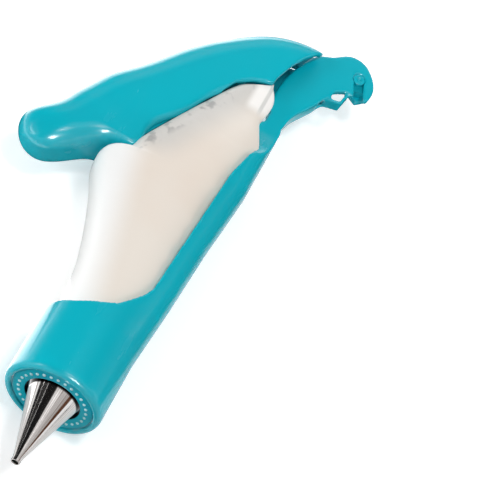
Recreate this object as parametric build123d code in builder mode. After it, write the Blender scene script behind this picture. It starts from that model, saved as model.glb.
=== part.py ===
import os

from build123d import *

os.makedirs("parts", exist_ok=True)

# Driving sizes in millimetres and degrees. The tool lies on its side. X runs back from the nozzle's outlet
# along the barrel, Y runs from the spine towards the lever, and Z runs up through the tool's thickness.

# Nozzle: a drawn steel cone.
nozzle_length = 29.2
nozzle_behind_ring_face = 5.6
nozzle_base_radius = 9.0
nozzle_tip_radius = 1.4
nozzle_wall = 0.35
nozzle_bead = 0.35
nozzle_bead_length = 0.8
outlet_land = 1.5

# Retaining ring in the collar's mouth.
ring_radius = 13.05
ring_hole_radius = 8.25
ring_length = 7.0
ring_bore_radius = 9.8
ring_edge_round = 0.5
grip_dot_radius = 0.42
grip_dot_height = 0.3
grip_dot_count = 30
thread_clearance = 0.05
nozzle_clearance = 0.06

# Collar at the nose of the frame.
collar_radius = 15.4
collar_length = 25.0
collar_lip = 0.7
lip_round = 1.7
rim_sweep_length = 18.0
rim_sweep_height = 19.3

# Coupler inside the end of the bag.
coupler_length = 20.0
coupler_wall = 1.3
coupler_front_radius = 10.4
coupler_rear_radius = 11.8
coupler_seat_radius = 9.5
seat_gap = 0.1

# Half-pipe spine behind the collar.
spine_length = 128.0
spine_wall = 2.0
spine_mid_radius = 15.6
spine_mid_depth = 18.2
spine_deep_radius = 16.0
spine_deep_depth = 20.2
rim_front_depth = 9.3
rim_rear_depth = 12.2
tail_rest_depth = 15.4
tooth_height = 3.4

# Hook head on its narrow neck, which starts inside the end of the spine.
head_overlap = 10.0
head_length = 55.0
head_height = 28.7
head_top_depth = 12.05
head_half_width = 2.9
cheek_gap = 2.8
cheek_gap_length = 25.5
bridge_thickness = 1.0
bridge_inset = 0.6
far_cheek_set_back = 3.2

# Hinge pin in its keyhole. The slot opens the near cheek only, and the far cheek is set back behind the notch.
pin_radius = 2.1
pin_clearance = 0.06
pin_end_recess = 0.2
pin_from_head_end = 7.9
pin_below_head_top = 22.1
keyhole_slot_width = 3.4
keyhole_slot_angle = 200.5
tongue_thickness = 2.5
tongue_hub_radius = 4.4

# Squeezing lever.
lever_length = 92.7
lever_height = 73.5
lever_half_width = 9.0
lever_wall = 2.0
lever_behind_pin = 0.5
lever_above_pin = 14.45
rear_slot_half_width = 4.2
rear_slot_above_pin = 22.2
press_plate_thickness = 2.2
press_plate_recess = 0.7

# Piping bag and its filling.
bag_wall = 0.5
bag_clearance = 0.35
bag_half_width = 13.0
filling_clearance = 0.1

# Places worked out from the driving sizes.
nose_x = nozzle_length - nozzle_behind_ring_face
collar_front_x = nose_x - collar_lip
collar_rear_x = nose_x + collar_length
ring_rear_x = nose_x + ring_length
nozzle_cone_length = nozzle_length - nozzle_bead_length - outlet_land
nozzle_slope = (nozzle_base_radius - nozzle_tip_radius) / nozzle_cone_length
ring_seat_x = outlet_land + (ring_hole_radius - nozzle_clearance - nozzle_tip_radius) / nozzle_slope
coupler_front_x = nozzle_length + seat_gap
coupler_shoulder_x = ring_rear_x + seat_gap
coupler_rear_x = coupler_shoulder_x + coupler_length
hollow_radius = coupler_rear_radius + 2 * seat_gap + bag_wall
seat_front_radius = coupler_front_radius + 2 * seat_gap + bag_wall
head_x = nose_x + spine_length - head_overlap
head_end_x = head_x + head_length
head_top_y = -head_top_depth
pin_x = head_end_x - pin_from_head_end
pin_y = head_top_y - pin_below_head_top
lever_rear_x = pin_x + lever_behind_pin
lever_front_x = lever_rear_x - lever_length
lever_base_y = pin_y + lever_above_pin
cut_reach = 4 * collar_radius

# Spine sections: shares of the spine's length and of the way from the collar's level to the pipe's middle.
spine_mid_share = 0.56
spine_deep_share = 0.76
spine_front_share = 0.36
spine_front_drop_share = 0.6

# Spine stations: distance behind the nose, drop of the centre and outside radius of each round section.
mid_drop = spine_mid_depth - spine_mid_radius
deep_drop = spine_deep_depth - spine_deep_radius
spine_stations = [
    (collar_length - lip_round, 0, collar_radius),
    (spine_front_share * spine_length, spine_front_drop_share * mid_drop, collar_radius),
    (spine_mid_share * spine_length, mid_drop, spine_mid_radius),
    (spine_deep_share * spine_length, deep_drop, spine_deep_radius),
    (spine_length, deep_drop, spine_deep_radius),
]

# Rim of the half-pipe: shares of the spine's length where it turns down, lies level, ends and steps up.
rim_turn_share = 0.74
tail_rest_share = 0.87
tail_rest_end_share = 0.925
tooth_share = 0.96

# Sweep of the rim from the collar's rear down into the half-pipe: shares of the sweep's length behind the collar
# and of its height.
rim_sweep_shares = [
    (0.000, 1.000), (0.060, 0.793), (0.130, 0.640), (0.206, 0.482), (0.283, 0.378), (0.428, 0.264),
    (0.594, 0.165), (0.767, 0.075), (1.000, 0.000),
]

# Waist of the spine seen from above: shares of the spine's length, and of the way from the head's half width
# out to the spine's radius.
waist_shares = [(0.74, 1.0), (0.80, 0.86), (0.86, 0.50), (0.91, 0.17), (0.95, 0.03), (0.99, 0.0)]

# Head outline: shares of the head's length from its front and of its height from its top, counted downwards.
head_tooth_shares = [(0.000, 0.170), (0.085, 0.100), (0.135, 0.015), (0.200, 0.055), (0.270, 0.060)]
head_top_shares = [
    (0.270, 0.060), (0.433, 0.000), (0.567, 0.021), (0.740, 0.115), (0.868, 0.258), (0.905, 0.375),
    (0.985, 0.550), (0.993, 0.721), (0.938, 0.875), (0.833, 0.983), (0.738, 0.972),
]
head_notch_shares = [
    (0.738, 0.972), (0.678, 0.866), (0.720, 0.831), (0.707, 0.770), (0.715, 0.706), (0.667, 0.591),
    (0.620, 0.573), (0.560, 0.510),
]
head_under_shares = [(0.560, 0.510), (0.430, 0.400), (0.330, 0.310), (0.240, 0.272), (0.000, 0.230)]
bridge_shares = [(0.595, 0.521), (0.627, 0.709), (0.735, 0.744)]

# Lever sections: shares of the lever's length from its front and of its height from its rear end upwards, for
# the middle of the underside and of the top, then the share of the lever's half width, and the share of that
# width which rounds the lower edges.
lever_section_shares = [
    (0.012, 0.910, 0.026, 0.943, 0.18, 0.50), (0.005, 0.848, 0.072, 0.974, 0.60, 0.66),
    (0.025, 0.789, 0.120, 0.970, 0.84, 0.66), (0.059, 0.741, 0.163, 0.933, 0.97, 0.66),
    (0.101, 0.688, 0.209, 0.891, 1.00, 0.66), (0.139, 0.627, 0.254, 0.865, 1.00, 0.62),
    (0.159, 0.527, 0.301, 0.842, 1.00, 0.34), (0.235, 0.494, 0.370, 0.803, 1.00, 0.26),
    (0.373, 0.418, 0.492, 0.710, 1.00, 0.24), (0.524, 0.335, 0.638, 0.595, 1.00, 0.24),
    (0.621, 0.234, 0.768, 0.484, 1.00, 0.24), (0.675, 0.110, 0.887, 0.348, 1.00, 0.24),
    (0.730, 0.000, 0.970, 0.205, 1.00, 0.24), (0.763, -0.060, 1.000, 0.080, 1.00, 0.24),
    (0.773, -0.131, 0.996, -0.050, 1.00, 0.24),
]
lever_low_shares = [(0.178, 0.520), (0.235, 0.493), (0.373, 0.418), (0.480, 0.359), (0.566, 0.313)]
lever_end_shares = [
    (0.566, 0.313), (0.635, 0.278), (0.682, 0.212), (0.714, 0.132), (0.746, 0.130),
    (0.838, 0.098), (0.897, 0.062), (0.957, 0.014), (0.984, 0.000), (1.108, -0.010),
]
core_low_shares = [(0.665, 0.300), (0.724, 0.246), (0.832, 0.212), (0.908, 0.162), (0.962, 0.130)]
core_top_shares = [(0.951, 0.185), (0.827, 0.365), (0.719, 0.455), (0.546, 0.540)]

# Bag stations: shares of the way from the coupler to the hook head, then of the way from the pipe's floor to
# the lever's underside there for the bag's underside and top, and of the bag's half width.
bag_station_shares = [
    (0.195, 0.098, 0.871, 1.000), (0.279, 0.087, 0.927, 1.000), (0.364, 0.078, 0.983, 1.000),
    (0.441, 0.065, 1.036, 1.000), (0.518, 0.054, 1.074, 0.992), (0.575, 0.043, 1.080, 0.969),
    (0.619, 0.034, 1.052, 0.946), (0.661, 0.026, 1.003, 0.923), (0.691, 0.024, 0.980, 0.908),
    (0.758, 0.013, 0.984, 0.838), (0.828, 0.011, 0.987, 0.762), (0.878, 0.019, 0.984, 0.654),
    (0.927, 0.053, 0.985, 0.554), (0.969, 0.127, 0.982, 0.469), (1.011, 0.220, 0.978, 0.408),
    (1.048, 0.279, 0.979, 0.362), (1.087, 0.300, 0.962, 0.323), (1.125, 0.300, 0.887, 0.277),
    (1.164, 0.300, 0.778, 0.231), (1.197, 0.310, 0.617, 0.185), (1.219, 0.333, 0.485, 0.123),
]


def head_points(shares):
    return [(head_x + x * head_length, head_top_y - y * head_height) for x, y in shares]


def lever_points(shares, lift=0):
    return [(lever_front_x + x * lever_length, lever_base_y + y * lever_height + lift) for x, y in shares]


def waist_points(inset):
    span = spine_deep_radius - head_half_width
    return [(nose_x + x * spine_length, head_half_width + y * span - inset) for x, y in waist_shares]


def lever_underside(x):
    """Height of the lever's underside at a distance from the nozzle's outlet, level beyond its two ends."""
    points = lever_points(lever_low_shares)
    for (front_x, front_y), (rear_x, rear_y) in zip(points, points[1:]):
        if x <= rear_x:
            return front_y + max(x - front_x, 0) * (rear_y - front_y) / (rear_x - front_x)
    return points[-1][1]


def bag_sections(inset):
    """Distance from the nozzle's outlet, middle, half height and half width of each section, less an inset."""
    floor_y = spine_wall + bag_clearance - spine_deep_depth
    mouth_radius = coupler_rear_radius + seat_gap + bag_wall - inset
    sections = [(coupler_rear_x, 0, mouth_radius, mouth_radius)]
    for run, low, top, width in bag_station_shares:
        x = coupler_rear_x + run * (head_x - coupler_rear_x)
        rise = lever_underside(x) - floor_y
        half_height = (top - low) * rise / 2
        half_width = min(width * bag_half_width, half_height)
        sections.append((x, floor_y + low * rise + half_height, half_height - inset, half_width - inset))
    return sections


def lever_section(low_x, low_y, top_x, top_y, width, inset=0):
    """Plane, half width and height of one section, drawn in at its sides and top by an inset."""
    low, top = lever_points([(low_x, low_y), (top_x, top_y)])
    rise = Vector(top[0] - low[0], top[1] - low[1], 0)
    plane = Plane(origin=(low[0], low[1], 0), x_dir=(0, 0, 1), z_dir=Vector(0, 0, 1).cross(rise.normalized()))
    return plane, width * lever_half_width - inset, rise.length - inset


# Outside of the spine, narrowed at its waist.
with BuildPart() as spine_outside:
    for run, drop, radius in spine_stations:
        with BuildSketch(Plane.YZ.offset(nose_x + run)):
            with Locations((-drop, 0)):
                Circle(radius)
    loft(ruled=True)
    with BuildSketch(Plane.XZ):
        with BuildLine():
            edge = waist_points(0)
            Spline(*edge)
            Polyline(edge[-1], (edge[-1][0] + cut_reach, edge[-1][1]), (edge[-1][0] + cut_reach, cut_reach))
            Polyline((edge[-1][0] + cut_reach, cut_reach), (edge[0][0], cut_reach), edge[0])
        make_face()
        mirror(about=Plane.XZ)
    extrude(amount=cut_reach, both=True, mode=Mode.SUBTRACT)

# Hollow of the spine, one wall inside.
with BuildPart() as spine_hollow:
    for run, drop, radius in spine_stations:
        with BuildSketch(Plane.YZ.offset(nose_x + run)):
            with Locations((-drop, 0)):
                Circle(radius - spine_wall)
    loft(ruled=True)
    with BuildSketch(Plane.XZ):
        with BuildLine():
            edge = waist_points(spine_wall)
            Spline(*edge)
            Polyline(edge[-1], (edge[-1][0] + cut_reach, edge[-1][1]), (edge[-1][0] + cut_reach, cut_reach))
            Polyline((edge[-1][0] + cut_reach, cut_reach), (edge[0][0], cut_reach), edge[0])
        make_face()
        mirror(about=Plane.XZ)
    extrude(amount=cut_reach, both=True, mode=Mode.SUBTRACT)
    split(bisect_by=Plane.YZ.offset(head_x + spine_wall), keep=Keep.BOTTOM)

# Collar tube with its rounded lip.
with BuildPart() as collar_tube:
    with BuildSketch(Plane.YZ.offset(collar_front_x)):
        Circle(collar_radius)
    extrude(amount=collar_lip + collar_length + rim_sweep_length)
    fillet(collar_tube.edges().sort_by(Axis.X)[0], radius=lip_round)

# Neck and hook head before its openings are cut.
with BuildPart() as hook_head:
    with BuildSketch(Plane.XY):
        with BuildLine():
            Polyline(*head_points(head_tooth_shares))
            Spline(*head_points(head_top_shares))
            Polyline(*head_points(head_notch_shares))
            Spline(*head_points(head_under_shares))
            Line(head_points(head_under_shares)[-1], head_points(head_tooth_shares)[0])
        make_face()
    extrude(amount=head_half_width, both=True)

# Frame body: one moulding of collar, half-pipe spine, neck and hook head.
with BuildPart() as frame_body:
    add(spine_outside.part)
    add(collar_tube.part)
    add(spine_hollow.part, mode=Mode.SUBTRACT)
    with BuildSketch(Plane.XY):
        with BuildLine():
            sweep = [
                (collar_rear_x + x * rim_sweep_length, y * rim_sweep_height - rim_front_depth)
                for x, y in rim_sweep_shares
            ]
            Line((collar_rear_x, cut_reach), sweep[0])
            Spline(*sweep)
            Polyline(
                sweep[-1],
                (nose_x + rim_turn_share * spine_length, -rim_rear_depth),
                (nose_x + tail_rest_share * spine_length, -tail_rest_depth),
                (nose_x + tail_rest_end_share * spine_length, -tail_rest_depth),
                (nose_x + tooth_share * spine_length, tooth_height - tail_rest_depth),
                (nose_x + spine_length + cut_reach, tooth_height - tail_rest_depth),
                (nose_x + spine_length + cut_reach, cut_reach),
                (collar_rear_x, cut_reach),
            )
        make_face()
    extrude(amount=cut_reach, both=True, mode=Mode.SUBTRACT)
    with BuildSketch(Plane.XY):
        with BuildLine():
            Polyline(
                (collar_front_x, 0),
                (collar_front_x, ring_radius + thread_clearance),
                (ring_rear_x + seat_gap, ring_radius + thread_clearance),
                (ring_rear_x + seat_gap, seat_front_radius),
                (coupler_rear_x, hollow_radius),
                (collar_rear_x + rim_sweep_length, hollow_radius),
                (collar_rear_x + rim_sweep_length, 0),
                close=True,
            )
        make_face()
    revolve(axis=Axis.X, mode=Mode.SUBTRACT)
    add(hook_head.part)
    with BuildSketch(Plane.XY):
        with Locations((head_end_x - cheek_gap_length, head_top_y)):
            Rectangle(cut_reach, 2 * cut_reach, align=(Align.MIN, Align.CENTER))
    extrude(amount=cheek_gap / 2, both=True, mode=Mode.SUBTRACT)
    with BuildSketch(Plane.XY):
        with Locations((pin_x, pin_y)):
            Circle(pin_radius + pin_clearance)
    extrude(amount=cut_reach, both=True, mode=Mode.SUBTRACT)
    with BuildSketch(Plane.XY):
        with Locations(Location((pin_x, pin_y, 0), (0, 0, keyhole_slot_angle))):
            Rectangle(head_height, keyhole_slot_width, align=(Align.MIN, Align.CENTER))
    extrude(amount=cut_reach, mode=Mode.SUBTRACT)
    with BuildSketch(Plane.XY):
        with BuildLine():
            notch = head_points(head_notch_shares[:2] + head_notch_shares[3:])
            set_back = [(x + far_cheek_set_back, y) for x, y in notch]
            below_y = head_top_y - cut_reach
            Polyline(*set_back, (set_back[-1][0], below_y), (set_back[0][0], below_y), close=True)
        make_face()
    extrude(amount=-cut_reach, mode=Mode.SUBTRACT)
    with BuildSketch(Plane.XY):
        with BuildLine():
            Polyline(*head_points(bridge_shares))
        trace(line_width=bridge_thickness)
    extrude(amount=head_half_width - bridge_inset, both=True)

frame_body.part.label = "frame_body"
export_step(frame_body.part, "parts/frame_body.step")

# Retaining ring with grip dots on its face.
with BuildPart() as retaining_ring:
    with BuildSketch(Plane.XY):
        with BuildLine():
            Polyline(
                (nose_x, ring_hole_radius),
                (nose_x, ring_radius),
                (ring_rear_x, ring_radius),
                (ring_rear_x, ring_bore_radius),
                (ring_seat_x, ring_bore_radius),
                (ring_seat_x, ring_hole_radius),
                close=True,
            )
        make_face()
    revolve(axis=Axis.X)
    fillet(retaining_ring.edges().group_by(Axis.X)[0], radius=ring_edge_round)
    with BuildSketch(Plane.YZ.offset(nose_x)):
        with PolarLocations((ring_radius + ring_hole_radius) / 2, grip_dot_count):
            Circle(grip_dot_radius)
    extrude(amount=-grip_dot_height)

retaining_ring.part.label = "retaining_ring"
export_step(retaining_ring.part, "parts/retaining_ring.step")

# Nozzle: thin cone with a short straight outlet and a bead round its base.
with BuildPart() as nozzle:
    with BuildSketch(Plane.XY):
        with BuildLine():
            Polyline(
                (0, nozzle_tip_radius),
                (outlet_land, nozzle_tip_radius),
                (nozzle_length - nozzle_bead_length, nozzle_base_radius),
                (nozzle_length - nozzle_bead_length, nozzle_base_radius + nozzle_bead),
                (nozzle_length, nozzle_base_radius + nozzle_bead),
                (nozzle_length, nozzle_base_radius - nozzle_wall),
                (outlet_land, nozzle_tip_radius - nozzle_wall),
                (0, nozzle_tip_radius - nozzle_wall),
                close=True,
            )
        make_face()
    revolve(axis=Axis.X)

nozzle.part.label = "nozzle"
export_step(nozzle.part, "parts/nozzle.step")

# Coupler: cone inside the bag's end, with a short neck that the nozzle's base stands on.
with BuildPart() as coupler:
    with BuildSketch(Plane.XY):
        with BuildLine():
            Polyline(
                (coupler_front_x, coupler_seat_radius - coupler_wall),
                (coupler_front_x, coupler_seat_radius),
                (coupler_shoulder_x, coupler_seat_radius),
                (coupler_shoulder_x, coupler_front_radius),
                (coupler_rear_x, coupler_rear_radius),
                (coupler_rear_x, coupler_rear_radius - coupler_wall),
                close=True,
            )
        make_face()
    revolve(axis=Axis.X)

coupler.part.label = "coupler"
export_step(coupler.part, "parts/coupler.step")

# Piping bag: a thin closed shell, gathered over the coupler at its front and folded shut at its tail.
cuff_front_x = coupler_shoulder_x + seat_gap
cuff_front_radius = coupler_front_radius + seat_gap + bag_wall
with BuildPart() as piping_bag:
    with BuildSketch(Plane.YZ.offset(cuff_front_x)):
        Ellipse(cuff_front_radius, cuff_front_radius)
    for x, middle, half_height, half_width in bag_sections(0):
        with BuildSketch(Plane.YZ.offset(x)):
            with Locations((middle, 0)):
                Ellipse(half_height, half_width)
    loft(ruled=True)
    with BuildSketch(Plane.YZ.offset(cuff_front_x)):
        Ellipse(cuff_front_radius - bag_wall, cuff_front_radius - bag_wall)
    for x, middle, half_height, half_width in bag_sections(bag_wall)[:-1]:
        with BuildSketch(Plane.YZ.offset(x)):
            with Locations((middle, 0)):
                Ellipse(half_height, half_width)
    loft(ruled=True, mode=Mode.SUBTRACT)

piping_bag.part.label = "piping_bag"
export_step(piping_bag.part, "parts/piping_bag.step")

# Icing: fills the bag, the coupler and the nozzle up to its outlet land.
with BuildPart() as icing:
    for x, middle, half_height, half_width in bag_sections(bag_wall + filling_clearance)[:-1]:
        back_off = -filling_clearance if x == coupler_rear_x else filling_clearance
        with BuildSketch(Plane.YZ.offset(x - back_off)):
            with Locations((middle, 0)):
                Ellipse(half_height, half_width)
    loft(ruled=True)
    with BuildSketch(Plane.XY):
        with BuildLine():
            core_step = nozzle_wall + filling_clearance
            neck_radius = coupler_seat_radius - coupler_wall - filling_clearance
            Polyline(
                (outlet_land + nozzle_tip_radius, 0),
                (outlet_land + nozzle_tip_radius, nozzle_tip_radius - core_step),
                (nozzle_length - nozzle_bead_length, neck_radius),
                (coupler_front_x, neck_radius),
                (coupler_rear_x, coupler_rear_radius - coupler_wall - filling_clearance),
                (coupler_rear_x + coupler_wall, coupler_rear_radius - coupler_wall - filling_clearance),
                (coupler_rear_x + coupler_wall, 0),
                close=True,
            )
        make_face()
    revolve(axis=Axis.X)

icing.part.label = "icing"
export_step(icing.part, "parts/icing.step")

# Lever shell: a long rounded cover with open underside, slotted at the rear for the hook head.
with BuildPart() as lever_shell:
    for *shares, edge_share in lever_section_shares:
        plane, half_width, height = lever_section(*shares)
        with BuildSketch(plane):
            with BuildLine():
                corner = edge_share * half_width
                Line((half_width, corner), (half_width, height - half_width))
                shoulder = height - half_width
                ThreePointArc((half_width, shoulder), (0, height), (-half_width, shoulder))
                Line((-half_width, shoulder), (-half_width, corner))
                TangentArc((-half_width, corner), (corner - half_width, 0), tangent=(0, -1))
                Line((corner - half_width, 0), (half_width - corner, 0))
                TangentArc((half_width - corner, 0), (half_width, corner), tangent=(1, 0))
            make_face()
    loft()
    for *shares, edge_share in lever_section_shares[6:]:
        plane, half_width, height = lever_section(*shares, inset=lever_wall)
        with BuildSketch(plane):
            with BuildLine():
                Line((half_width, -lever_wall), (half_width, height - half_width))
                shoulder = height - half_width
                ThreePointArc((half_width, shoulder), (0, height), (-half_width, shoulder))
                Line((-half_width, shoulder), (-half_width, -lever_wall))
                Line((-half_width, -lever_wall), (half_width, -lever_wall))
            make_face()
    loft(mode=Mode.SUBTRACT)
    with BuildSketch(Plane.XY):
        with BuildLine():
            end = lever_points(lever_end_shares)
            below_y = lever_base_y - cut_reach
            Polyline(*end, (end[-1][0], below_y), (end[0][0], below_y), close=True)
        make_face()
    extrude(amount=cut_reach, both=True, mode=Mode.SUBTRACT)
    with BuildSketch(Plane.XY):
        with Locations((pin_x, pin_y + rear_slot_above_pin)):
            Rectangle(cut_reach, lever_height, align=(Align.CENTER, Align.MAX))
    extrude(amount=rear_slot_half_width, both=True, mode=Mode.SUBTRACT)

lever_shell.part.label = "lever_shell"
export_step(lever_shell.part, "parts/lever_shell.step")

# Lever core: press plate inside the shell's mouth, with a web that ends in the tongue round the hinge pin.
with BuildPart() as lever_core:
    with BuildSketch(Plane.XY):
        with BuildLine():
            under = lever_points(lever_low_shares, lift=press_plate_recess)
            over = lever_points(lever_low_shares, lift=press_plate_recess + press_plate_thickness)
            Polyline(*under, *reversed(over), close=True)
        make_face()
    extrude(amount=lever_half_width - lever_wall, both=True)
    with BuildSketch(Plane.XY):
        with BuildLine():
            web_low = lever_points(core_low_shares)
            web_top = lever_points(core_top_shares)
            Polyline(under[-2], *web_low, *web_top, close=True)
        make_face()
        with BuildLine():
            Polyline(
                web_low[-2],
                (pin_x - tongue_hub_radius, pin_y),
                (pin_x + tongue_hub_radius, pin_y),
                (pin_x - tongue_hub_radius / 2, pin_y + rear_slot_above_pin),
                web_low[-1],
                close=True,
            )
        make_face()
        with Locations((pin_x, pin_y)):
            Circle(tongue_hub_radius)
    extrude(amount=tongue_thickness / 2, both=True)
    with BuildSketch(Plane.XY):
        with Locations((pin_x, pin_y)):
            Circle(pin_radius)
    extrude(amount=cut_reach, both=True, mode=Mode.SUBTRACT)

lever_core.part.label = "lever_core"
export_step(lever_core.part, "parts/lever_core.step")

# Hinge pin through the tongue and both cheeks.
with BuildPart() as hinge_pin:
    with BuildSketch(Plane.XY):
        with Locations((pin_x, pin_y)):
            Circle(pin_radius)
    extrude(amount=head_half_width - pin_end_recess, both=True)

hinge_pin.part.label = "hinge_pin"
export_step(hinge_pin.part, "parts/hinge_pin.step")
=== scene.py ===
import math

import bpy
from mathutils import Euler, Matrix, Vector


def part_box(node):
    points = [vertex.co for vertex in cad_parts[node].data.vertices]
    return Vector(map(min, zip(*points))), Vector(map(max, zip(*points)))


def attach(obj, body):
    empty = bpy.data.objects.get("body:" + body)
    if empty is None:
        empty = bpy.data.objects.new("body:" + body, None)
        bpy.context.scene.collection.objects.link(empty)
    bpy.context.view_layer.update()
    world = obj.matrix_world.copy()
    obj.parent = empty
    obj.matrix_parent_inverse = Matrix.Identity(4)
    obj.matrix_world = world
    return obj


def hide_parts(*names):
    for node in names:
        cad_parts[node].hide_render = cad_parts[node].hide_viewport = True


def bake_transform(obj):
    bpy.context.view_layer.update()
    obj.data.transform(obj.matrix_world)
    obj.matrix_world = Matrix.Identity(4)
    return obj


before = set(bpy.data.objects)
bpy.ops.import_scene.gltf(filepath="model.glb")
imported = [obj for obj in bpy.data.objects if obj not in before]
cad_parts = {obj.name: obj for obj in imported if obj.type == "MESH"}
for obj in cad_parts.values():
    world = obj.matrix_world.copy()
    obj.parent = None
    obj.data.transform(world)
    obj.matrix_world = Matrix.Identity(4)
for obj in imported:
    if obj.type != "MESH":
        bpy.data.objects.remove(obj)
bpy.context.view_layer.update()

# Camera: it looks down on the tool from in front of the nozzle, as the tool lies on its side.
# A long lens keeps the barrel's two edges nearly parallel.
camera_place = (-0.2854, 0.0, 0.5143)
view_right = Vector((0.38017, -0.86074, 0.33853))
view_up = Vector((0.69965, 0.50701, 0.50341))
view_back = Vector((-0.604945, 0.04547, 0.79497))
bpy.ops.object.camera_add(location=camera_place)
camera = bpy.context.object
camera.rotation_euler = Matrix((view_right, view_up, view_back)).transposed().to_euler()
camera.data.lens = 150
camera.data.sensor_width = 36
bpy.context.scene.camera = camera
bpy.context.scene.view_settings.view_transform = "Standard"


# Frame moulding: one injection moulding of gloss teal plastic, with the collar at the nose, the half-pipe
# spine and the hook head. Its walls are 2 mm thick and the mould left every edge rounded.
class Wire:
    """A node's output. Sums, differences and products of wires add the Math nodes that work them out."""

    def __init__(self, finish, socket):
        self.finish = finish
        self.socket = socket

    def __add__(self, other):
        return self.finish.maths("ADD", self, other)

    def __radd__(self, other):
        return self.finish.maths("ADD", other, self)

    def __sub__(self, other):
        return self.finish.maths("SUBTRACT", self, other)

    def __rsub__(self, other):
        return self.finish.maths("SUBTRACT", other, self)

    def __mul__(self, other):
        return self.finish.maths("MULTIPLY", self, other)

    def __rmul__(self, other):
        return self.finish.maths("MULTIPLY", other, self)


class Finish:
    """A material with one Principled shader. Even values are set on the shader and varying ones are wired."""

    def __init__(self, name, colour, **values):
        self.material = bpy.data.materials.new(name)
        self.material.use_nodes = True
        self.tree = self.material.node_tree
        self.shader = self.tree.nodes["Principled BSDF"]
        self.material.diffuse_color = (*colour, 1)
        self.socket("base_color").default_value = (*colour, 1)
        for key, value in values.items():
            self.socket(key).default_value = value
        self.place = self.node("ShaderNodeTexCoord", output="Object")

    def socket(self, key):
        """The shader's socket of this name, written as in coat_weight."""
        return self.shader.inputs[key.replace("_", " ").title().replace("Ior", "IOR")]

    def node(self, kind, settings=None, sockets=None, output=0):
        """Adds a node, sets it up, fills its sockets with values or wires and gives one of its outputs."""
        made = self.tree.nodes.new(kind)
        for key, value in (settings or {}).items():
            setattr(made, key, value)
        for key, value in (sockets or {}).items():
            if isinstance(key, int):
                socket = made.inputs[key]
            else:
                socket = next(found for found in made.inputs if found.enabled and found.name == key)
            if isinstance(value, Wire):
                self.tree.links.new(value.socket, socket)
            else:
                socket.default_value = value
        if isinstance(output, int):
            return Wire(self, made.outputs[output])
        return Wire(self, next(found for found in made.outputs if found.enabled and found.name == output))

    def maths(self, operation, first, second=0.0):
        return self.node("ShaderNodeMath", {"operation": operation}, {0: first, 1: second})

    def band(self, value, low, high, bottom=0.0, top=1.0):
        """Goes smoothly from bottom to top as the value goes from low to high."""
        return self.node(
            "ShaderNodeMapRange", {"interpolation_type": "SMOOTHSTEP"},
            {"Value": value, "From Min": low, "From Max": high, "To Min": bottom, "To Max": top}, "Result")

    def noise(self, scale, detail=2.0, stretch=(1, 1, 1), roughness=0.5):
        """Noise in the piece's own space, finer for a larger scale, drawn out where the stretch is small."""
        place = self.node("ShaderNodeMapping", None, {"Vector": self.place, "Scale": stretch})
        return self.node(
            "ShaderNodeTexNoise", None,
            {"Vector": place, "Scale": scale, "Detail": detail, "Roughness": roughness}, "Fac")

    def places(self):
        """The three coordinates of the piece's own space."""
        split = self.node("ShaderNodeSeparateXYZ", None, {"Vector": self.place})
        return [Wire(self, output) for output in split.socket.node.outputs]

    def blend(self, amount, first, second):
        """Colour between two colours."""
        first = first if isinstance(first, Wire) else (*first, 1)
        second = second if isinstance(second, Wire) else (*second, 1)
        return self.node(
            "ShaderNodeMix", {"data_type": "RGBA"}, {"Factor": amount, "A": first, "B": second}, "Result")

    def wire(self, **wires):
        """Leads wires into the shader's sockets."""
        for key, value in wires.items():
            self.tree.links.new(value.socket, self.socket(key))

    def bump(self, height, strength, distance):
        """Raises the surface by a height that varies over it."""
        self.wire(normal=self.node(
            "ShaderNodeBump", None, {"Height": height, "Strength": strength, "Distance": distance}, "Normal"))

    def dress(self, piece):
        """Makes this the piece's only material."""
        piece.data.materials.clear()
        piece.data.materials.append(self.material)


def select_only(piece):
    bpy.ops.object.select_all(action="DESELECT")
    piece.select_set(True)
    bpy.context.view_layer.objects.active = piece


def new_piece(name, mesh):
    """A new object with this mesh, selected on its own."""
    piece = bpy.data.objects.new(name, mesh)
    bpy.context.scene.collection.objects.link(piece)
    select_only(piece)
    return piece


def apply_modifiers(piece):
    select_only(piece)
    for modifier in list(piece.modifiers):
        bpy.ops.object.modifier_apply(modifier=modifier.name)


def moulded_copy(node, name, grid=0.00045, passes=8):
    """A copy of a CAD node's mesh, merged, laid out on an even grid and smoothed to round its edges."""
    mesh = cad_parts[node].data.copy()
    mesh.materials.clear()
    piece = new_piece(name, mesh)
    bpy.ops.object.mode_set(mode="EDIT")
    bpy.ops.mesh.select_all(action="SELECT")
    bpy.ops.mesh.remove_doubles(threshold=0.00001)
    bpy.ops.mesh.customdata_custom_splitnormals_clear()
    bpy.ops.object.mode_set(mode="OBJECT")
    remesh = piece.modifiers.new("Grid", "REMESH")
    remesh.mode = "VOXEL"
    remesh.voxel_size = grid
    smooth = piece.modifiers.new("Rounding", "SMOOTH")
    smooth.factor = 0.5
    smooth.iterations = passes
    apply_modifiers(piece)
    bpy.ops.object.shade_smooth()
    return piece


frame_moulding = moulded_copy("frame_body", "frame_moulding")

teal = (0.0, 0.45, 0.555)
deep_teal = (0.0, 0.42, 0.52)
teal_plastic = Finish("teal_plastic", teal, roughness=0.24, specular_ior_level=0.35, coat_roughness=0.06)
cloudiness = teal_plastic.noise(30, 3)
handling = teal_plastic.noise(160, 4, (0.25, 1, 1), 0.6)
skin = teal_plastic.noise(1500, 2)
teal_plastic.wire(
    base_color=teal_plastic.blend(teal_plastic.band(cloudiness, 0.35, 0.7), teal, deep_teal),
    roughness=0.19 + 0.10 * cloudiness + teal_plastic.band(handling, 0.55, 0.8, 0.0, 0.10),
    coat_weight=teal_plastic.band(handling, 0.3, 0.7, 0.30, 0.18))
teal_plastic.bump(skin + 2 * cloudiness, strength=0.12, distance=0.00006)
teal_plastic.dress(frame_moulding)
# The steel doesn't mirror the collar, so that it shows the studio's cards along its whole length.
frame_moulding.visible_glossy = False
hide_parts("frame_body")
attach(frame_moulding, "holder")


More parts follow.
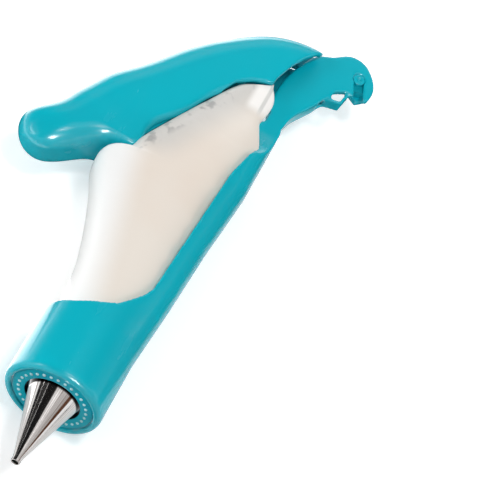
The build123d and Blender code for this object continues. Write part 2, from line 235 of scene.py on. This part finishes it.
# Lever cover: the long rounded shell that presses the bag when it is pulled down. It is moulded in the same
# teal plastic, open below and slotted at its rear for the hook head.
lever_cover = moulded_copy("lever_shell", "lever_cover")
teal_plastic.dress(lever_cover)
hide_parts("lever_shell")
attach(lever_cover, "lever")


# Lever core: the press plate and the tongue round the hinge pin, one moulding that is pressed into the cover.
# It is the same plastic with a duller tool-marked surface, because it hardly shows once the tool is clipped
# together.
core_plastic = Finish("core_plastic", deep_teal, roughness=0.5, specular_ior_level=0.1)
core_cloud = core_plastic.noise(45, 3)
core_plastic.wire(
    base_color=core_plastic.blend(core_plastic.band(core_cloud, 0.3, 0.7), deep_teal, (0.0, 0.34, 0.42)),
    roughness=0.32 + 0.2 * core_cloud)
core_plastic.bump(core_plastic.noise(900, 3), strength=0.25, distance=0.00008)
core_plastic.dress(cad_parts["lever_core"])


# Hinge pin: a short round pin snapped into the head's keyhole, on which the lever turns. It is moulded in the
# same teal plastic, with a shallow dimple in each end.
def round_edges(piece, width, segments):
    """Rounds a piece's sharp edges and shades it smooth between them."""
    rounding = piece.modifiers.new("Rounding", "BEVEL")
    rounding.width = width
    rounding.segments = segments
    rounding.limit_method = "ANGLE"
    apply_modifiers(piece)
    bpy.ops.object.shade_smooth_by_angle(angle=math.radians(40))


pin_radius = 0.0021
pin_length = 0.0054
dimple_radius = 0.0010
dimple_slope = 0.0003
dimple_depth = 0.0004
bpy.ops.object.select_all(action="DESELECT")
bpy.ops.mesh.primitive_cylinder_add(vertices=48, radius=pin_radius, depth=pin_length)
pin = bpy.context.object
pin.name = "pin"
bpy.ops.object.mode_set(mode="EDIT")
bpy.ops.mesh.select_mode(type="FACE")
bpy.ops.mesh.select_all(action="DESELECT")
bpy.ops.object.mode_set(mode="OBJECT")
for face in pin.data.polygons:
    face.select = abs(face.normal.z) > 0.9
bpy.ops.object.mode_set(mode="EDIT")
bpy.ops.mesh.inset(thickness=pin_radius - dimple_radius, use_individual=True)
bpy.ops.mesh.inset(thickness=dimple_slope, depth=-dimple_depth, use_individual=True)
bpy.ops.object.mode_set(mode="OBJECT")
pin_low, pin_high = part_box("hinge_pin")
pin.data.transform(Matrix.Translation((pin_low + pin_high) / 2))
round_edges(pin, width=0.00025, segments=3)
teal_plastic.dress(pin)
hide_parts("hinge_pin")
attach(pin, "lever")


# Retaining ring: screwed into the collar's mouth round the nozzle. It is the collar's teal, painted deeper as
# painted shade of its recessed face, with thirty small raised dots round its face as a grip.
def turned(name, profile, sides):
    """A piece turned round the barrel: a circle drawn out through a profile's places and radii and closed."""
    bpy.ops.object.select_all(action="DESELECT")
    start_x, start_radius = profile[0]
    bpy.ops.mesh.primitive_circle_add(
        vertices=sides, radius=start_radius, location=(start_x, 0, 0), rotation=(0, math.pi / 2, 0))
    piece = bpy.context.object
    piece.name = name
    bpy.ops.object.transform_apply(location=True, rotation=True, scale=True)
    bpy.ops.object.mode_set(mode="EDIT")
    bpy.ops.mesh.select_mode(type="VERT")
    bpy.ops.mesh.select_all(action="SELECT")
    for (x, radius), (next_x, next_radius) in zip(profile, profile[1:] + profile[:1]):
        bpy.ops.mesh.extrude_region_move(TRANSFORM_OT_translate={"value": (next_x - x, 0, 0)})
        grow = next_radius / radius
        bpy.ops.transform.resize(value=(1, grow, grow), center_override=(next_x, 0, 0))
    bpy.ops.mesh.select_all(action="SELECT")
    bpy.ops.mesh.remove_doubles(threshold=0.00001)
    bpy.ops.mesh.normals_make_consistent(inside=False)
    bpy.ops.object.mode_set(mode="OBJECT")
    return piece


ring_face, ring_back = 0.0236, 0.0306
ring_rim, rim_chamfer = 0.01305, 0.0005
hole_radius, hole_mouth, mouth_depth = 0.0083, 0.0088, 0.0012
flange_seat, seat_radius = 0.0254, 0.0098
ring = turned("ring", [
    (ring_face + mouth_depth, hole_radius), (ring_face, hole_mouth), (ring_face, ring_rim - rim_chamfer),
    (ring_face + rim_chamfer, ring_rim), (ring_back, ring_rim), (ring_back, seat_radius),
    (flange_seat, seat_radius), (flange_seat, hole_radius)], sides=128)
round_edges(ring, width=0.0002, segments=3)

ring_shaded_teal = (0.0, 0.40, 0.50)
ring_plastic = Finish("ring_plastic", ring_shaded_teal, roughness=0.22, specular_ior_level=0.08)
_, ring_y, ring_z = ring_plastic.places()
from_axis = ring_plastic.maths("SQRT", ring_y * ring_y + ring_z * ring_z)
ring_cloud = ring_plastic.noise(70, 3)
ring_colour = ring_plastic.blend(ring_plastic.band(ring_cloud, 0.35, 0.7), ring_shaded_teal, (0.0, 0.32, 0.43))
# The edge of the hole, next to the steel, is painted near black as painted shade of the deep gap.
clear_of_painted_shade = ring_plastic.band(from_axis, hole_mouth - 0.0001, hole_mouth + 0.0001)
ring_plastic.wire(
    base_color=ring_plastic.blend(clear_of_painted_shade, (0.002, 0.004, 0.005), ring_colour),
    roughness=0.18 + 0.12 * ring_cloud)
ring_plastic.bump(ring_plastic.noise(1600, 2), strength=0.15, distance=0.00005)
ring_plastic.dress(ring)

# The dots are painted pale cyan as a painted highlight on their raised tops.
dot_highlight_plastic = Finish("dot_highlight_plastic", (0.45, 0.80, 0.84), roughness=0.2)
dot_cloud = dot_highlight_plastic.noise(300, 2)
dot_highlight_plastic.wire(
    base_color=dot_highlight_plastic.blend(dot_cloud, (0.36, 0.74, 0.80), (0.56, 0.86, 0.88)),
    roughness=0.15 + 0.1 * dot_cloud)
dot_count = 30
dot_circle = 0.0107
dot_radius = 0.0005
dot_flatness = 0.7
bpy.ops.object.select_all(action="DESELECT")
bpy.ops.mesh.primitive_uv_sphere_add(segments=12, ring_count=8, radius=dot_radius, location=(ring_face, 0, 0))
first_dot = bpy.context.object
bpy.ops.object.transform_apply(location=True, rotation=True, scale=True)
bpy.ops.object.shade_smooth()
first_dot.data.transform(
    Matrix.Translation((ring_face, 0, 0)) @ Matrix.Diagonal((dot_flatness, 1, 1, 1))
    @ Matrix.Translation((-ring_face, dot_circle, 0)))
dot_highlight_plastic.dress(first_dot)
dots = [first_dot]
for turn in range(1, dot_count):
    dot = new_piece("dot", first_dot.data.copy())
    dot.data.transform(Matrix.Rotation(2 * math.pi * turn / dot_count, 4, "X"))
    dots.append(dot)
bpy.ops.object.select_all(action="DESELECT")
for dot in dots:
    dot.select_set(True)
bpy.context.view_layer.objects.active = first_dot
bpy.ops.object.join()
grip_dots = first_dot
grip_dots.name = "grip_dots"
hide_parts("retaining_ring")
for piece in (ring, grip_dots):
    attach(piece, "ring")
    # The steel doesn't mirror the ring either.
    piece.visible_glossy = False


# Nozzle: a piping tip drawn from thin stainless steel and polished, with a rolled bead round its base.
# Fine drawing lines run along the cone, and their light and dark bands in the colour are painted reflection
# streaks.
outlet_length, outlet_bore, outlet_radius = 0.0015, 0.00105, 0.0014
bead_front, bead_rear, bead_radius = 0.0284, 0.0292, 0.00935
cone_outside = [
    (0.0, outlet_radius), (outlet_length, outlet_radius), (0.006, 0.002671), (0.013, 0.004648),
    (0.020, 0.006624), (bead_front, 0.009)]
cone_inside = [
    (bead_rear, 0.00865), (0.020, 0.006264), (0.013, 0.004298), (0.006, 0.00232),
    (outlet_length, outlet_bore), (0.0, outlet_bore)]
nozzle_cone = turned(
    "nozzle_cone",
    cone_outside + [(bead_front, bead_radius), (bead_rear, bead_radius)] + cone_inside, sides=160)
round_edges(nozzle_cone, width=0.00009, segments=2)

polished_steel = Finish("polished_steel", (0.72, 0.71, 0.70), metallic=1.0, roughness=0.1)
steel_x, steel_y, steel_z = polished_steel.places()
steel_turn = polished_steel.maths("ARCTAN2", steel_z, steel_y)
steel_lines = polished_steel.node(
    "ShaderNodeCombineXYZ", None, {"X": steel_turn * 9, "Y": steel_x * 12}, "Vector")
drawn_lines_and_painted_streaks = polished_steel.node(
    "ShaderNodeTexNoise", None,
    {"Vector": steel_lines, "Scale": 2.0, "Detail": 4.0, "Roughness": 0.65}, "Fac")
# The light and dark bands of the colour are painted reflection streaks.
steel_colour = polished_steel.blend(
    polished_steel.band(drawn_lines_and_painted_streaks, 0.38, 0.66), (0.82, 0.81, 0.80), (0.48, 0.44, 0.42))
# Behind the ring's face the cone is painted near black as painted shade of the hole.
painted_shade_behind_face = polished_steel.band(steel_x, ring_face - 0.0004, ring_face + 0.0002)
polished_steel.wire(
    base_color=polished_steel.blend(painted_shade_behind_face, steel_colour, (0.004, 0.004, 0.004)),
    roughness=0.06 + 0.10 * drawn_lines_and_painted_streaks)
polished_steel.bump(drawn_lines_and_painted_streaks, strength=0.04, distance=0.0001)
polished_steel.dress(nozzle_cone)
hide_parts("nozzle")
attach(nozzle_cone, "tip")


# Coupler: the plain cone inside the end of the bag, against which the ring clamps the nozzle's bead.
# It is moulded in white plastic with a dull surface.
coupler_plastic = Finish("coupler_plastic", (0.8, 0.8, 0.78), roughness=0.45)
coupler_cloud = coupler_plastic.noise(90, 3)
coupler_plastic.wire(
    base_color=coupler_plastic.blend(coupler_cloud, (0.82, 0.82, 0.80), (0.74, 0.74, 0.72)),
    roughness=0.38 + 0.2 * coupler_cloud)
coupler_plastic.bump(coupler_plastic.noise(900, 2), strength=0.2, distance=0.00006)
coupler_plastic.dress(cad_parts["coupler"])


# Piping bag: a taut bag of thin see-through film, full of icing, gathered over the coupler and pressed
# between the lever and the half-pipe.
# Each row is a section's place along the barrel, its underside, its top, its half width, how far its upper
# and its lower half are squared off, and how far its sides hang below its middle.
bag_rows = [
    (0.0308, -0.0110, 0.0110, 0.0110, 0.00, 0.00, 0.0000),
    (0.0507, -0.0124, 0.0124, 0.0124, 0.00, 0.05, 0.0000),
    (0.0590, -0.0134, 0.0132, 0.0127, 0.05, 0.10, 0.0000),
    (0.0684, -0.0142, 0.0144, 0.0129, 0.05, 0.20, 0.0000),
    (0.0761, -0.0147, 0.0163, 0.0131, 0.05, 0.20, 0.0000),
    (0.0838, -0.0150, 0.0186, 0.0131, 0.05, 0.20, 0.0000),
    (0.0908, -0.0155, 0.0210, 0.0130, 0.10, 0.25, 0.0000),
    (0.0960, -0.0158, 0.0230, 0.0129, 0.15, 0.30, 0.0000),
    (0.1000, -0.0161, 0.0247, 0.0128, 0.25, 0.30, 0.0000),
    (0.1035, -0.0163, 0.0259, 0.0128, 0.35, 0.32, 0.0000),
    (0.1062, -0.0165, 0.0262, 0.0128, 0.40, 0.34, 0.0000),
    (0.1084, -0.0167, 0.0247, 0.0128, 0.45, 0.35, 0.0000),
    (0.1099, -0.0168, 0.0205, 0.0128, 0.50, 0.35, 0.0000),
    (0.1118, -0.0169, 0.0189, 0.0128, 0.55, 0.35, 0.0000),
    (0.1150, -0.0172, 0.0180, 0.0128, 0.60, 0.35, 0.0000),
    (0.1196, -0.0174, 0.0163, 0.0127, 0.60, 0.35, 0.0000),
    (0.1260, -0.0177, 0.0135, 0.0125, 0.60, 0.35, 0.0000),
    (0.1305, -0.0178, 0.0116, 0.0121, 0.60, 0.35, 0.0000),
    (0.1350, -0.0175, 0.0096, 0.0117, 0.60, 0.35, 0.0000),
    (0.1388, -0.0162, 0.0080, 0.0111, 0.60, 0.45, 0.0000),
    (0.1426, -0.0140, 0.0063, 0.0102, 0.60, 0.55, 0.0006),
    (0.1460, -0.0120, 0.0049, 0.0094, 0.60, 0.60, 0.0018),
    (0.1495, -0.0118, 0.0034, 0.0090, 0.60, 0.60, 0.0030),
    (0.1530, -0.0120, 0.0019, 0.0087, 0.55, 0.60, 0.0032),
    (0.1565, -0.0120, -0.0004, 0.0084, 0.55, 0.60, 0.0028),
    (0.1595, -0.0117, -0.0042, 0.0081, 0.50, 0.50, 0.0018),
    (0.1620, -0.0112, -0.0085, 0.0077, 0.40, 0.40, 0.0000),
    (0.1636, -0.0107, -0.0097, 0.0070, 0.20, 0.20, 0.0000),
]


def between(before, first, second, after, share):
    """A smooth curve's value between the second and third of four values."""
    return 0.5 * (
        2 * first + (second - before) * share + (2 * before - 5 * first + 4 * second - after) * share ** 2
        + (3 * first - before - 3 * second + after) * share ** 3)


def bag_loft(name, rows, steps, sides, inset):
    """A closed bag drawn smoothly through its rows, shrunk by an inset."""
    points = []
    padded_rows = [rows[0]] + rows + [rows[-1]]
    for index in range(len(rows) - 1):
        last = index == len(rows) - 2
        for step in range(steps + (1 if last else 0)):
            near = padded_rows[index:index + 4]
            x, low, top, half, upper_square, lower_square, hang = (
                between(*(row[part] for row in near), step / steps) for part in range(7))
            middle, rise = (low + top) / 2, (top - low) / 2 - inset
            for side in range(sides):
                turn = 2 * math.pi * side / sides
                across, along = math.sin(turn), math.cos(turn)
                power = 1 - (upper_square if along > 0 else lower_square)
                aside = math.copysign(abs(across) ** power, across)
                reach = rise if along > 0 else rise + hang * aside ** 2
                rise_here = math.copysign(abs(along) ** power, along) * reach
                points.append((x, middle + rise_here, aside * (half - inset)))
    rings = len(points) // sides
    faces = []
    for ring_index in range(rings - 1):
        for side in range(sides):
            here = ring_index * sides + side
            beside = ring_index * sides + (side + 1) % sides
            faces.append((here, beside, beside + sides, here + sides))
    faces.append(tuple(range(sides))[::-1])
    faces.append(tuple(range((rings - 1) * sides, rings * sides)))
    mesh = bpy.data.meshes.new(name)
    mesh.from_pydata(points, [], faces)
    piece = new_piece(name, mesh)
    bpy.ops.object.mode_set(mode="EDIT")
    bpy.ops.mesh.select_all(action="SELECT")
    bpy.ops.mesh.normals_make_consistent(inside=False)
    bpy.ops.object.mode_set(mode="OBJECT")
    bpy.ops.object.shade_smooth()
    return piece


bag = bag_loft("bag", bag_rows, steps=8, sides=96, inset=0.0)
bag_cream = (0.79, 0.69, 0.60)
bag_film = Finish("bag_film", bag_cream, roughness=0.42, coat_weight=0.2, coat_roughness=0.12)
bag_x, bag_y, _ = bag_film.places()
bag_cloud = bag_film.noise(22, 3)
bag_colour = bag_film.blend(bag_film.band(bag_cloud, 0.3, 0.7), bag_cream, (0.80, 0.735, 0.66))
# Along the open side the film is painted nearly white, as painted glare of the strong left light.
painted_glare_side = bag_film.band(bag_y - 0.217 * bag_x, -0.013, -0.002)
bag_colour = bag_film.blend(painted_glare_side, bag_colour, (0.92, 0.92, 0.91))
# Under the lever the film is painted grey as painted shade of the lever, and it is creased, with grey air
# pockets between the creases. The lever's underside slopes down towards the head.
to_lever = bag_y + 0.425 * bag_x
under_lever_shade_and_creases = bag_film.band(to_lever, 0.050, 0.063) * bag_film.band(bag_x, 0.105, 0.118)
bag_colour = bag_film.blend(under_lever_shade_and_creases * 0.85, bag_colour, (0.58, 0.575, 0.555))
pocket_near = bag_film.band(to_lever, 0.0600, 0.0630) * bag_film.band(bag_x, 0.107, 0.112)
pockets = bag_film.band(bag_film.noise(210, 2, (1, 1.3, 1)), 0.52, 0.66)
bag_colour = bag_film.blend(pocket_near * pockets * 0.65, bag_colour, (0.26, 0.26, 0.26))
# The folded tail has a white pleat, a painted highlight, beside a grey pleat, painted shade of the fold.
tail = bag_film.band(bag_x, 0.146, 0.151)
bag_colour = bag_film.blend(tail * bag_film.band(bag_y, -0.0045, -0.0072), bag_colour, (0.93, 0.91, 0.88))
shaded_grey_pleat = bag_film.band(bag_y, -0.0095, -0.0101) * bag_film.band(bag_y, -0.0113, -0.0107)
bag_colour = bag_film.blend(tail * shaded_grey_pleat * 0.8, bag_colour, (0.60, 0.60, 0.58))
bag_film.wire(base_color=bag_colour, roughness=0.34 + 0.14 * bag_cloud)
ripples = bag_film.noise(120, 3, (1, 0.5, 1))
creases = under_lever_shade_and_creases * bag_film.noise(260, 2) * 2
bag_film.bump(ripples + creases + tail * shaded_grey_pleat, strength=0.25, distance=0.0005)
bag_film.dress(bag)
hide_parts("piping_bag")
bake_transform(bag)


# Icing: the soft cream filling that keeps the bag round. It lies a film's thickness inside the bag and is
# pressed out through the coupler and the nozzle.
icing = bag_loft("icing_filling", bag_rows[1:-1], steps=4, sides=48, inset=0.0008)
icing_cream = Finish("icing_cream", (0.86, 0.80, 0.70), roughness=0.5)
icing_cloud = icing_cream.noise(60, 3)
icing_cream.wire(
    base_color=icing_cream.blend(icing_cloud, (0.88, 0.82, 0.72), (0.82, 0.75, 0.64)),
    roughness=0.4 + 0.2 * icing_cloud)
icing_cream.bump(icing_cream.noise(500, 3), strength=0.2, distance=0.0001)
icing_cream.dress(icing)
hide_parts("icing")
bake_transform(icing)


# Studio: a plain white floor that the tool lies on, a white surround, and soft lamps to the left, above,
# behind and to the right. To the camera the floor glows a little, so that it shows as white round the tool's
# shadow.
floor_level = -0.0155
bpy.ops.object.select_all(action="DESELECT")
bpy.ops.mesh.primitive_plane_add(size=6)
floor = bpy.context.object
floor.name = "floor"
floor.data.transform(Matrix.Translation((0, 0, floor_level)))
floor_white = Finish(
    "floor_white", (0.9, 0.9, 0.9), roughness=0.9, specular_ior_level=0.1, emission_strength=1.0)
seen = floor_white.node("ShaderNodeLightPath", output="Is Camera Ray")
floor_white.wire(emission_color=floor_white.blend(seen, (0, 0, 0), (0.36, 0.36, 0.36)))
floor_white.dress(floor)


class Surround(Finish):
    """The world's white, made with the same nodes as a material."""

    def __init__(self, name):
        self.world = bpy.data.worlds.new(name)
        self.world.use_nodes = True
        self.tree = self.world.node_tree
        self.shader = self.tree.nodes["Background"]
        self.socket("color").default_value = (1, 1, 1, 1)


# It shows as plain white to the camera and in what shines, and lights the tool with a part of that.
surround = Surround("surround")
bpy.context.scene.world = surround.world
surround_light = 0.31
seen_rays = surround.node("ShaderNodeLightPath", output="Is Camera Ray")
mirrored_rays = surround.node("ShaderNodeLightPath", output="Is Glossy Ray")
shown = surround.maths("MAXIMUM", seen_rays, mirrored_rays)
surround.wire(strength=surround_light + (1 - surround_light) * shown)

# Dark and bright cards stand round the tool, hang over it and lie beside it. They only show in what shines:
# as the streaks of the steel, as the white glare along the left edges, and as deep colour where the teal
# faces the dark. Each row of the list is a card's name, finish, middle, turn, width and height.
card_black = Finish("card_black", (0.01, 0.01, 0.01), roughness=1.0, specular_ior_level=0.0)
card_brown = Finish("card_brown", (0.12, 0.045, 0.02), roughness=1.0, specular_ior_level=0.0)
card_glint = Finish(
    "card_glint", (0, 0, 0), roughness=1.0, emission_color=(1, 1, 1, 1), emission_strength=45.0)
card_grey = Finish(
    "card_grey", (0, 0, 0), roughness=1.0, emission_color=(0.6, 0.58, 0.57, 1), emission_strength=1.0)
# The bright card on the floor fades away from the tool, so that the glare along the left edges has a soft
# inner side.
card_bright = Finish("card_bright", (0, 0, 0), roughness=1.0, emission_strength=3.2)
_, card_y, _ = card_bright.places()
card_bright.wire(emission_color=card_bright.blend(
    card_bright.band(card_y, 0.02, 0.25), (1, 1, 1), (0.12, 0.12, 0.12)))
for name, finish, middle, turn, width, height in (
        ("left_high_card", card_black, (0.1, 0.235, 0.45), (0, 0, 0), 1.4, 0.39),
        ("left_low_card", card_black, (0.1, 0.60, 0.45), (0, 0, 0), 1.4, 0.30),
        ("left_card", card_black, (0.1, 0.75, 0.225), (math.pi / 2, 0, 0), 1.4, 0.23),
        ("left_upper_card", card_black, (0.1, 0.75, 0.41), (math.pi / 2, 0, 0), 1.4, 0.11),
        ("nose_card", card_black, (0.003, 0.0, -0.0149), (0, 0, 0), 0.014, 0.06),
        ("top_card", card_grey, (0.05, -0.31, 0.45), (0, 0, 0), 0.3, 0.70),
        ("right_card", card_brown, (0.1, -0.66, 0.34), (math.pi / 2, 0, 0), 0.5, 0.22),
        ("front_card", card_glint, (-0.43, -0.26, 0.61), (0.4, -0.65, 0), 0.22, 0.26),
        ("rear_card", card_black, (0.75, 0.0, 0.62), (math.pi / 2, 0, math.pi / 2), 2.4, 1.2),
        ("bulb_floor_card", card_black, (0.0980, 0.0500, -0.0148), (0, 0, 0), 0.052, 0.080),
        ("right_floor_card", card_black, (0.63, -0.535, -0.0150), (0, 0, 0), 1.14, 1.0),
        ("left_floor_card", card_bright, (0.63, 0.528, -0.0150), (0, 0, 0), 1.2, 1.024)):
    bpy.ops.mesh.primitive_plane_add(size=1)
    card = bpy.context.object
    card.name = name
    card.data.transform(
        Matrix.Translation(middle) @ Euler(turn).to_matrix().to_4x4()
        @ Matrix.Diagonal((width, height, 1, 1)))
    card.visible_camera = False
    card.visible_diffuse = False
    card.visible_transmission = False
    card.visible_shadow = False
    finish.dress(card)


lamp_aim = Vector((0.08, 0, 0))


def lamp(name, place, size, watts):
    """A soft lamp that faces the tool's middle."""
    bpy.ops.object.light_add(type="AREA", location=place)
    light = bpy.context.object
    light.name = name
    light.rotation_euler = (Vector(place) - lamp_aim).to_track_quat("Z", "Y").to_euler()
    light.data.shape = "RECTANGLE"
    light.data.size, light.data.size_y = size
    light.data.energy = watts
    return light


lamp("left_lamp", (-0.25, 0.75, 0.35), (0.5, 0.5), 4.0)
lamp("top_lamp", (0.05, -0.15, 0.9), (0.2, 0.2), 2.8)
lamp("rear_lamp", (0.9, 0.1, 0.3), (0.6, 0.4), 2.7)
# The right lamp lights the tool's right side but doesn't show as a bright square in the steel.
right_lamp = lamp("right_lamp", (0.25, -0.8, 0.35), (0.5, 0.4), 2.2)
right_lamp.visible_glossy = False
